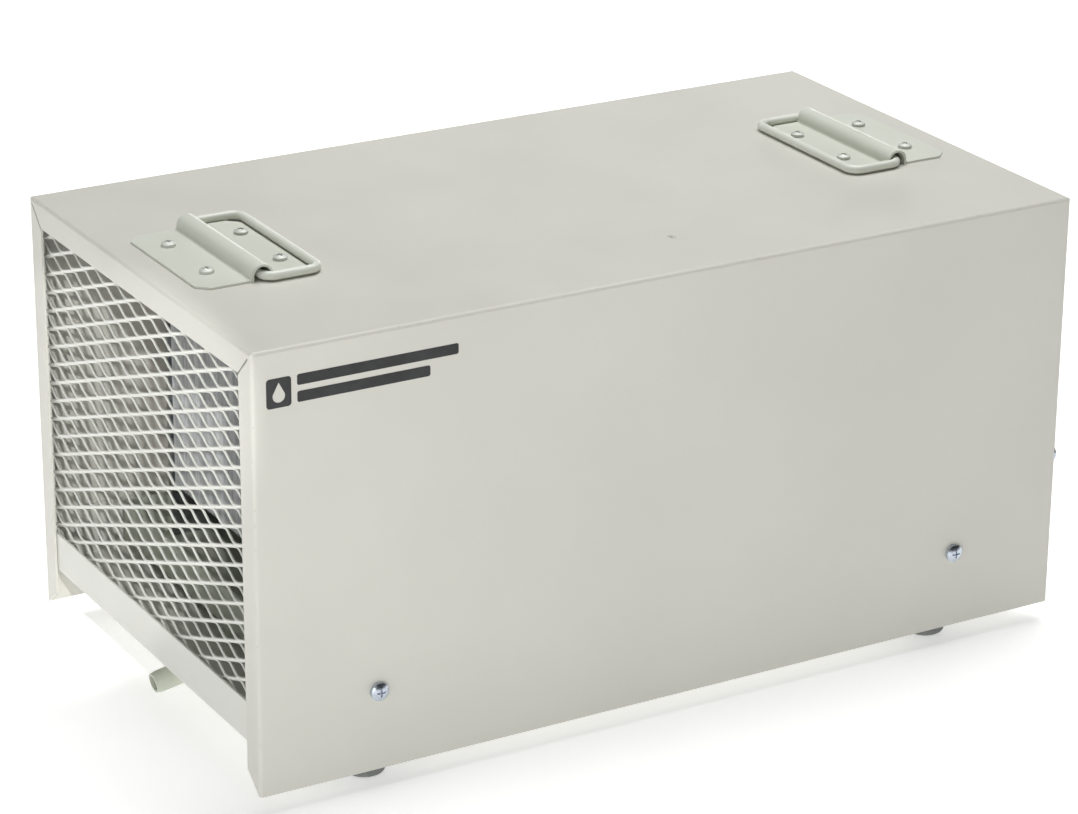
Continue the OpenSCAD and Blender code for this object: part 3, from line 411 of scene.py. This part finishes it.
# Millimetres. LWD and SWD are a diamond's long and short ways, from bond to bond
LWD = 35.0
SWD = 13.2
HALF_L, HALF_S = LWD / 2, SWD / 2
STRAND_W = 2.8
STRAND_T = 1.6
STRAND_EDGE = 0.28
STRAND_TILT = math.radians(30)
RISE, LEAN = STRAND_W * math.cos(STRAND_TILT), STRAND_W * math.sin(STRAND_TILT)
BOND = 3.4
FLAT = BOND / LWD
# Shares of the way from one bond to the next
STEPS = [0, 0.1, 0.2, 0.35, 0.5, 0.65, 0.8, 0.9]
SET_OUT = 0.9
INSET = 3.0


def in_casing(node):
    """The corners of a node's box in casing millimetres."""
    low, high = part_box(node)
    return (low - CASING) / MM, (high - CASING) / MM


def strand_section():
    """Points round a strand's section: across its width, and through its thickness."""
    w, t, c = STRAND_W / 2, STRAND_T / 2, STRAND_EDGE
    return [(-w, -t + c), (-w + c, -t), (w - c, -t), (w, -t + c),
            (w, t - c), (w - c, t), (-w + c, t), (-w, t - c)]


def bond(row, col, mid_x, outward, phase_y, phase_z):
    """Where a strand crosses a column: at the top of its zigzag, or at the bottom."""
    y = phase_y + col * HALF_L
    if (row + col) % 2 == 0:
        return Vector((mid_x - outward * LEAN / 2, y, phase_z + (row + 1) * HALF_S - RISE / 2))
    return Vector((mid_x + outward * LEAN / 2, y, phase_z + row * HALF_S + RISE / 2))


def strand_path(bonds):
    """A zigzag through the bonds, flat near each one and eased between them."""
    path = []
    for a, b in zip(bonds, bonds[1:]):
        for u in STEPS:
            s = min(1, max(0, (u - FLAT) / (1 - 2 * FLAT)))
            s = 0.75 * s + 0.25 * s * s * (3 - 2 * s)
            path.append(Vector((a.x + (b.x - a.x) * s, a.y + (b.y - a.y) * u, a.z + (b.z - a.z) * s)))
    return path


def runs_inside(path, low, high):
    """The stretches of a path that lie inside the mesh's selvedge."""
    runs, run = [], []
    for p in path:
        if low.y + INSET < p.y < high.y - INSET and low.z + INSET < p.z < high.z - INSET:
            run.append(p)
        elif run:
            runs.append(run)
            run = []
    if run:
        runs.append(run)
    return [run for run in runs if len(run) > 1]


def add_strand(run, across, section, vertices, faces):
    """Sweeps the section along a run and caps both ends."""
    start, n, last = len(vertices), len(section), len(run) - 1
    for i, p in enumerate(run):
        along = (run[min(i + 1, last)] - run[max(i - 1, 0)]).normalized()
        through = along.cross(across).normalized()
        wide = through.cross(along).normalized()
        vertices += [CASING + (p + wide * u + through * v) * MM for u, v in section]
    for i in range(last):
        for k in range(n):
            a, b = start + i * n + k, start + i * n + (k + 1) % n
            faces.append((a, b, b + n, a + n))
    faces.append(tuple(start + k for k in reversed(range(n))))
    faces.append(tuple(start + last * n + k for k in range(n)))


def expanded_metal(name, node, outward, phase_y, phase_z):
    """Raised expanded metal that fills a CAD mesh's box: zigzag strands that lean the same
    way and join at their bonds, inside a flat selvedge."""
    low, high = in_casing(node)
    across = Vector((outward * math.sin(STRAND_TILT), 0, math.cos(STRAND_TILT)))
    mid_x = (low.x + high.x) / 2 - outward * SET_OUT
    section = strand_section()
    rows = range(math.floor((low.z - phase_z) / HALF_S) - 1, math.ceil((high.z - phase_z) / HALF_S) + 1)
    first_col = math.floor((low.y - phase_y) / HALF_L) - 1
    last_col = math.ceil((high.y - phase_y) / HALF_L) + 1
    vertices, faces = [], []
    for row in rows:
        bonds = [bond(row, col, mid_x, outward, phase_y, phase_z)
                 for col in range(first_col, last_col + 1)]
        for run in runs_inside(strand_path(bonds), low, high):
            add_strand(run, across, section, vertices, faces)
    mesh = mark_sharp(mesh_from(name, vertices, faces), 60)
    obj = new_object(name, mesh, material=materials["mesh_paint"])
    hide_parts(node)


def selvedge(name, node, width=6.5, thickness=1.0):
    """Flat frame that the mesh is welded to, just behind the end flanges."""
    low, high = in_casing(node)
    x0 = (low.x + high.x) / 2 - thickness / 2
    outer = [(low.y, low.z), (high.y, low.z), (high.y, high.z), (low.y, high.z)]
    inner = [(low.y + width, low.z + width), (high.y - width, low.z + width),
             (high.y - width, high.z - width), (low.y + width, high.z - width)]
    vertices = [at(x, y, z) for x in (x0, x0 + thickness) for y, z in outer + inner]
    faces = []
    for k in range(4):
        n = (k + 1) % 4
        faces += [(k, n, 4 + n, 4 + k), (8 + k, 12 + k, 12 + n, 8 + n)]
        faces += [(k, 8 + k, 8 + n, n), (4 + k, 4 + n, 12 + n, 12 + k)]
    mesh = mesh_from(name, vertices, faces, smooth=False)
    new_object(name, mesh, material=materials["mesh_paint"])


expanded_metal("inlet_mesh_strands", "inlet_mesh", -1, 4.0, 46.0)
expanded_metal("outlet_mesh_strands", "outlet_mesh", 1, 4.0, 159.0)
selvedge("inlet_mesh_selvedge", "inlet_mesh")
selvedge("outlet_mesh_selvedge", "outlet_mesh")

# ---------- mark on the front panel ----------

# Millimetres. MARK_X and MARK_Z are in casing coordinates, the rest from that corner
MARK_X, MARK_Z, MARK_GAP, MARK_T = 10, 262, 0.02, 0.05
BADGE_W, BADGE_H, BADGE_R = 17, 19.5, 2.2
DROP_X, DROP_Z, DROP_R = 8.5, 7.6, 4.2
BARS_IN, BAR_H, BAR_R = 21, 7.2, 1.4
BARS = (("mark_bar_upper", 112, 12.3), ("mark_bar_lower", 92, 1.2))


def flat_piece(name, outline, place, thickness, material, holes=()):
    """A thin plate cut to an outline of (along, up) points, which place() puts in the frame."""
    work = bmesh.new()
    loops = []
    for points in (outline, *holes):
        loops.append([work.verts.new(place(u, v, 0)) for u, v in points])
    edges = []
    for loop in loops:
        edges += [work.edges.new((loop[i], loop[(i + 1) % len(loop)])) for i in range(len(loop))]
    filled = bmesh.ops.triangle_fill(work, use_beauty=True, use_dissolve=False, edges=edges)
    faces = [f for f in filled["geom"] if isinstance(f, bmesh.types.BMFace)]
    grown = bmesh.ops.extrude_face_region(work, geom=faces)
    moved = [v for v in grown["geom"] if isinstance(v, bmesh.types.BMVert)]
    push = place(0, 0, thickness) - place(0, 0, 0)
    bmesh.ops.translate(work, verts=moved, vec=push)
    bmesh.ops.recalc_face_normals(work, faces=work.faces)
    mesh = bpy.data.meshes.new(name)
    work.to_mesh(mesh)
    work.free()
    new_object(name, mesh, material=material)


def on_front(x, z):
    """Places mark outlines on the front panel, with their corner at this casing point."""
    return lambda u, v, out: at(x + u, -MARK_GAP - out, z + v)


def rounded_box(width, height, radius, steps=5):
    """A rectangle's outline with rounded corners, from (0, 0)."""
    centres = [(width - radius, radius, -90), (width - radius, height - radius, 0),
               (radius, height - radius, 90), (radius, radius, 180)]
    points = []
    for cx, cy, start in centres:
        for i in range(steps + 1):
            a = math.radians(start + 90 * i / steps)
            points.append((cx + radius * math.cos(a), cy + radius * math.sin(a)))
    return points


def droplet(cx, cy, radius, steps=20):
    """A drop: the lower 250 degrees of a circle, closed by a point above it."""
    points = [(cx, cy + 2.1 * radius)]
    for i in range(steps + 1):
        a = math.radians(35 - 250 * i / steps)
        points.append((cx + radius * math.cos(a), cy + radius * math.sin(a)))
    return points


def front_mark():
    """A plain drop in a rounded square beside two plain bars."""
    ink = materials["mark_ink"]
    drop = droplet(DROP_X, DROP_Z, DROP_R)[::-1]
    flat_piece("mark_badge", rounded_box(BADGE_W, BADGE_H, BADGE_R), on_front(MARK_X, MARK_Z),
               MARK_T, ink, [drop])
    for name, length, up in BARS:
        flat_piece(name, rounded_box(length, BAR_H, BAR_R), on_front(MARK_X + BARS_IN, MARK_Z + up),
                   MARK_T, ink)


front_mark()

# ---------- coil fins ----------

FIN_COUNT, FIN_ROWS = 130, 10
FIN_T, FIN_EDGE = 0.00016, 0.006


def fin_pack(name, node, seed, waver):
    """Close-pitched fins whose edges waver a little, in place of a CAD fin pack."""
    low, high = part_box(node)
    rng = random.Random(seed)
    vertices, faces = [], []
    for i in range(FIN_COUNT):
        y = low.y + (high.y - low.y - FIN_T) * i / (FIN_COUNT - 1)
        lean = rng.uniform(-1, 1) * waver
        start = len(vertices)
        drift = 0
        for r in range(FIN_ROWS + 1):
            z = low.z + (high.z - low.z) * r / FIN_ROWS
            drift += rng.uniform(-1, 1) * waver * 0.35
            front = min(max(y + lean + drift, low.y), high.y - FIN_T)
            for x, at_y in ((low.x, front), (low.x + FIN_EDGE, y), (high.x - FIN_EDGE, y), (high.x, y)):
                vertices += [Vector((x, at_y, z)), Vector((x, at_y + FIN_T, z))]
        faces += fin_faces(start)
    mesh = mesh_from(name, vertices, faces, smooth=False)
    obj = new_object(name, mesh, material=materials["fin_aluminium"])
    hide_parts(node)


def fin_faces(start):
    """The faces of one fin, whose rows of four point pairs begin at this vertex."""
    faces = []
    for r in range(FIN_ROWS):
        for c in range(3):
            a = start + r * 8 + c * 2
            faces += [(a, a + 8, a + 10, a + 2), (a + 1, a + 3, a + 11, a + 9)]
        a = start + r * 8
        faces += [(a, a + 1, a + 9, a + 8), (a + 6, a + 14, a + 15, a + 7)]
    for c in range(3):
        a = start + c * 2
        b = start + FIN_ROWS * 8 + c * 2
        faces += [(a, a + 2, a + 3, a + 1), (b, b + 1, b + 3, b + 2)]
    return faces


fin_pack("evaporator_fin_pack", "evaporator_fins", 11, 0.0006)
fin_pack("condenser_fin_pack", "condenser_fins", 12, 0.0002)

# ---------- fan ----------

HUB_R, HUB_WALL, BOSS_R, NOSE_R, HUB_EDGE = 0.034, 0.003, 0.009, 0.006, 0.001
BOSS_SHORT, WEB_SHORT = 0.006, 0.009
WEBS, WEB_T, WEB_SUNK = 6, 0.002, 0.0005
BLADES, BLADE_SUNK, TIP_GAP = 5, 0.001, 0.0006
ROOT_PITCH, PITCH_FALL = 42, 20
SWEEP = math.radians(10)
ROOT_HALF_T, HALF_T_FALL, CAMBER = 0.0014, 0.0006, 0.06
SPANS, CHORDS = 10, 12


def round_point(centre, along, radius, angle):
    """A point at an angle round the line through centre that runs along x."""
    y, z = centre.y + radius * math.cos(angle), centre.z + radius * math.sin(angle)
    return (centre.x + along, y, z)


def blade_ring(work, centre, t, radius, depth, turn):
    """The outline of a blade's section at a share t of its span: a cambered ellipse with
    blunt edges, which takes up a growing share of the hub's depth."""
    pitch = math.radians(ROOT_PITCH - PITCH_FALL * t)
    chord = depth * (0.62 + 0.1 * t) / math.sin(pitch)
    sweep = SWEEP * t
    half_thick = ROOT_HALF_T - HALF_T_FALL * t
    upper, lower = [], []
    for k in range(CHORDS + 1):
        u = k / CHORDS - 0.5
        camber = CAMBER * chord * (1 - 4 * u * u)
        round_axis = u * chord * math.cos(pitch) + camber * math.sin(pitch)
        axial = u * chord * math.sin(pitch) - camber * math.cos(pitch)
        thick = half_thick * math.sqrt(max(0.06, 1 - 4 * u * u * 0.98))
        angle = turn + sweep + round_axis / radius
        for side, points in ((1, upper), (-1, lower)):
            a = angle - side * thick * math.sin(pitch) / radius
            x = axial + side * thick * math.cos(pitch)
            points.append(work.verts.new(round_point(centre, x, radius, a)))
    return upper + lower[::-1]


def blade_mesh(work, centre, root_r, tip_r, depth, turn):
    """One cambered blade that flattens and widens from its root to its tip."""
    rings = []
    for i in range(SPANS + 1):
        t = i / SPANS
        rings.append(blade_ring(work, centre, t, root_r + (tip_r - root_r) * t, depth, turn))
    n = len(rings[0])
    for i in range(SPANS):
        for k in range(n):
            m = (k + 1) % n
            work.faces.new((rings[i][k], rings[i][m], rings[i + 1][m], rings[i + 1][k]))
    work.faces.new(rings[0][::-1])
    work.faces.new(rings[-1])


def turned(work, centre, profile, steps=64):
    """A closed shape turned about the line through centre that runs along x, from
    (along, radius) points."""
    rings = []
    for i in range(steps):
        a = 2 * math.pi * i / steps
        rings.append([work.verts.new(round_point(centre, x, r, a)) for x, r in profile])
    n = len(profile)
    for i in range(steps):
        here, there = rings[i], rings[(i + 1) % steps]
        for k in range(n):
            m = (k + 1) % n
            work.faces.new((here[k], there[k], there[m], here[m]))


def hub_profile(depth, bore_r):
    """Half section of the hub cup, its boss and its bore, as (along, radius) points."""
    inner_r, boss_end = HUB_R - HUB_WALL, depth - BOSS_SHORT
    nose = []
    for degrees in (0, 18, 36, 54, 72, 90):
        a = math.radians(degrees)
        nose.append((NOSE_R - NOSE_R * math.cos(a), HUB_R - NOSE_R + NOSE_R * math.sin(a)))
    rim = [(depth - HUB_EDGE, HUB_R), (depth, HUB_R - HUB_EDGE), (depth, inner_r)]
    floor = [(HUB_WALL + 2 * HUB_EDGE, inner_r), (HUB_WALL, inner_r - 2 * HUB_EDGE)]
    boss = [(HUB_WALL, BOSS_R + HUB_EDGE), (HUB_WALL + HUB_EDGE, BOSS_R), (boss_end, BOSS_R)]
    return [(0, bore_r)] + nose + rim + floor + boss + [(boss_end, bore_r)]


def hub_web(work, front, depth, angle):
    """A thin wall inside the hub cup, from its boss to its rim."""
    side = Vector((0, -math.sin(angle), math.cos(angle))) * WEB_T / 2
    out = Vector((0, math.cos(angle), math.sin(angle)))
    corners = []
    for x in (HUB_WALL - WEB_SUNK, depth - WEB_SHORT):
        for r in (BOSS_R - WEB_SUNK, HUB_R - HUB_WALL + WEB_SUNK):
            for sign in (-1, 1):
                corners.append(work.verts.new(front + Vector((x, 0, 0)) + out * r + side * sign))
    for quad in ((0, 1, 3, 2), (4, 6, 7, 5), (0, 2, 6, 4), (1, 5, 7, 3), (0, 4, 5, 1), (2, 3, 7, 6)):
        work.faces.new([corners[q] for q in quad])


def impeller():
    """Moulded axial impeller: rounded hub cup with a boss and webs, and swept blades."""
    low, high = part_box("fan_impeller")
    shaft_low, shaft_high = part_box("fan_shaft")
    tip_r = (high.y - low.y) / 2 - TIP_GAP
    depth = high.x - low.x
    front = Vector((low.x, (low.y + high.y) / 2, (low.z + high.z) / 2))
    middle = front + Vector((depth / 2, 0, 0))
    work = bmesh.new()
    turned(work, front, hub_profile(depth, (shaft_high.y - shaft_low.y) / 2))
    for web in range(WEBS):
        hub_web(work, front, depth, math.radians(360 / WEBS * (web + 0.5)))
    for blade in range(BLADES):
        turn = math.radians(360 / BLADES * blade)
        blade_mesh(work, middle, HUB_R - BLADE_SUNK, tip_r, depth, turn)
    mesh = mesh_of(work, "impeller_moulding", 38)
    obj = new_object("impeller_moulding", mesh, "fan", materials["fan_plastic"])
    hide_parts("fan_impeller")


impeller()

# ---------- hour meter ----------

# Millimetres
METER_RECESS = 1.2
DRUMS, DRUM_PITCH, DRUM_W, DRUM_H = 5, 4.7, 4.1, 8.4
NOUGHT_W, NOUGHT_H, NOUGHT_LINE = 2.4, 5, 0.6
WINDOW_W, WINDOW_H = 25.6, 11.6


def hour_meter_face():
    """Five number drums, all at nought, behind a clear window."""
    low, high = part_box("hour_meter")
    face = Vector((high.x - METER_RECESS * MM, (low.y + high.y) / 2, (low.z + high.z) / 2))
    pale, dark = materials["terminal_plastic"], materials["black_plastic"]

    def centred(middle, width, height, out):
        return lambda u, v, w: face + Vector((out + w, middle + u - width / 2, v - height / 2)) * MM

    for i in range(DRUMS):
        middle = (i - (DRUMS - 1) / 2) * DRUM_PITCH
        drum, ink = (pale, dark) if i == DRUMS - 1 else (dark, pale)
        flat_piece(f"meter_drum_{i + 1}", rounded_box(DRUM_W, DRUM_H, 0.4),
                   centred(middle, DRUM_W, DRUM_H, 0.05), 0.3, drum)
        hollow = rounded_box(NOUGHT_W - 2 * NOUGHT_LINE, NOUGHT_H - 2 * NOUGHT_LINE, 0.55)
        hole = [(u + NOUGHT_LINE, v + NOUGHT_LINE) for u, v in hollow[::-1]]
        flat_piece(f"meter_nought_{i + 1}", rounded_box(NOUGHT_W, NOUGHT_H, 1.1),
                   centred(middle, NOUGHT_W, NOUGHT_H, 0.36), 0.05, ink, [hole])
    flat_piece("meter_window", rounded_box(WINDOW_W, WINDOW_H, 0.5),
               centred(0, WINDOW_W, WINDOW_H, 0.6), 0.5, materials["meter_glass"])


hour_meter_face()

# ---------- cable gland seal ----------

SEAL_IN, SEAL_BACK, SEAL_R = 0.0011, -0.002, 0.0048
SEAL_LIP = [(0.0004, 0.0038), (0.0008, 0.0042), (0.0006, SEAL_R)]


def gland_seal():
    """Rubber ring in the mouth of the cable gland, open at its own bore."""
    low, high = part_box("cable_gland")
    centre = Vector((high.x - SEAL_IN, (low.y + high.y) / 2, (low.z + high.z) / 2))
    work = bmesh.new()
    turned(work, centre, [(SEAL_BACK, 0.00395)] + SEAL_LIP + [(SEAL_BACK, SEAL_R)], 48)
    mesh = mesh_of(work, "gland_seal", 50)
    new_object("gland_seal", mesh, "casing", materials["foot_rubber"])


gland_seal()

# ---------- softened edges ----------


def soften(node, width):
    """Rounds the sharp edges of a CAD node by a fraction of a millimetre."""
    bevel = cad[node].modifiers.new("edges", "BEVEL")
    bevel.width = width
    bevel.segments = 2
    bevel.limit_method = "ANGLE"
    bevel.angle_limit = math.radians(50)
    bevel.harden_normals = True


for node in ("handle_plate_left", "handle_plate_right", "base_tray", "control_panel"):
    soften(node, 0.0003)
for node in ("rocker_housing", "hour_meter", "cable_gland", "compressor_terminal_cover", "rocker"):
    soften(node, 0.0002)

# ---------- floor, light and camera ----------


def aim(obj, place, target):
    """Puts an object at a place with its -Z axis towards a target."""
    obj.location = place
    obj.rotation_euler = (Vector(target) - Vector(place)).to_track_quat("-Z", "Y").to_euler()


def studio_floor():
    """A white floor that glows, and more so far away, so that it has no horizon."""
    half = 40.0
    corners = [(-half, -half, 0), (half, -half, 0), (half, half, 0), (-half, half, 0)]
    s = Shader("floor_white", Roughness=0.9, Specular_IOR_Level=0.1)
    s.bsdf.inputs["Emission Color"].default_value = (1, 1, 1, 1)
    tints = [(0.3, (0.96, 0.96, 0.96, 1)), (0.7, (0.98, 0.98, 0.98, 1))]
    s.set("Base Color", s.ramp(s.noise(2, 2), tints))
    reach = s.add("ShaderNodeVectorMath", {0: s.coords}, operation="LENGTH").outputs["Value"]
    s.set("Emission Strength", s.spread(reach, 0.42, 0.97, 1.2, 4))
    obj = link("floor", mesh_from("floor", corners, [(0, 1, 2, 3)]))
    obj.data.materials.append(s.material)
    obj.location.z = -0.0005


def soft_light(name, place, target, size, power):
    data = bpy.data.lights.new(name, "AREA")
    data.shape = "RECTANGLE"
    data.size, data.size_y = size
    data.energy = power
    obj = link(name, data)
    aim(obj, place, target)
    obj.visible_camera = False


def spot(name, place, target, cone, power):
    """A small lamp with a narrow cone, which throws sharp shadows."""
    data = bpy.data.lights.new(name, "SPOT")
    data.energy = power
    data.spot_size = math.radians(cone)
    data.spot_blend = 0.2
    data.shadow_soft_size = 0.01
    aim(link(name, data), place, target)


def studio_world():
    """White at the horizon, dim overhead, so that the lights shape the object."""
    world = bpy.data.worlds.new("studio")
    world.use_nodes = True
    tree = world.node_tree
    coords = tree.nodes.new("ShaderNodeTexCoord")
    split = tree.nodes.new("ShaderNodeSeparateXYZ")
    ramp = tree.nodes.new("ShaderNodeValToRGB")
    for element, position, grey in zip(ramp.color_ramp.elements, (0.03, 0.09), (1, 0.04)):
        element.position = position
        element.color = (grey, grey, grey, 1)
    tree.links.new(coords.outputs["Generated"], split.inputs[0])
    tree.links.new(split.outputs["Z"], ramp.inputs["Fac"])
    tree.links.new(ramp.outputs["Color"], tree.nodes["Background"].inputs["Color"])
    bpy.context.scene.world = world


studio_floor()
studio_world()
soft_light("key", (-1.7, 0.5, 2.7), (0, 0, 0.15), (2.2, 2.2), 9)
soft_light("near", (-0.95, -1.15, 0.32), (-0.25, -0.17, 0.12), (0.8, 0.5), 4.7)
soft_light("side", (-2.2, -0.9, 0.75), (-0.3, 0, 0.15), (0.05, 0.05), 3)
soft_light("top", (0.7, 0.6, 3.2), (0, 0, 0.2), (2.5, 2.5), 99)
soft_light("rear", (1.8, 2.4, 0.4), (0, 0, 0.2), (1.8, 0.5), 9)
spot("through", (-0.75, -1.2, 0.9), (-0.376, 0.012, 0.19), 11, 45)

lens = bpy.data.cameras.new("camera")
lens.lens = 126.65
lens.sensor_width = 36
camera = link("camera", lens)
camera.location = (-1.22395, -2.10404, 1.13088)
camera.rotation_euler = [math.radians(a) for a in (68.242, -0.368, -29.820)]
bpy.context.scene.camera = camera
bpy.context.scene.view_settings.view_transform = "Standard"
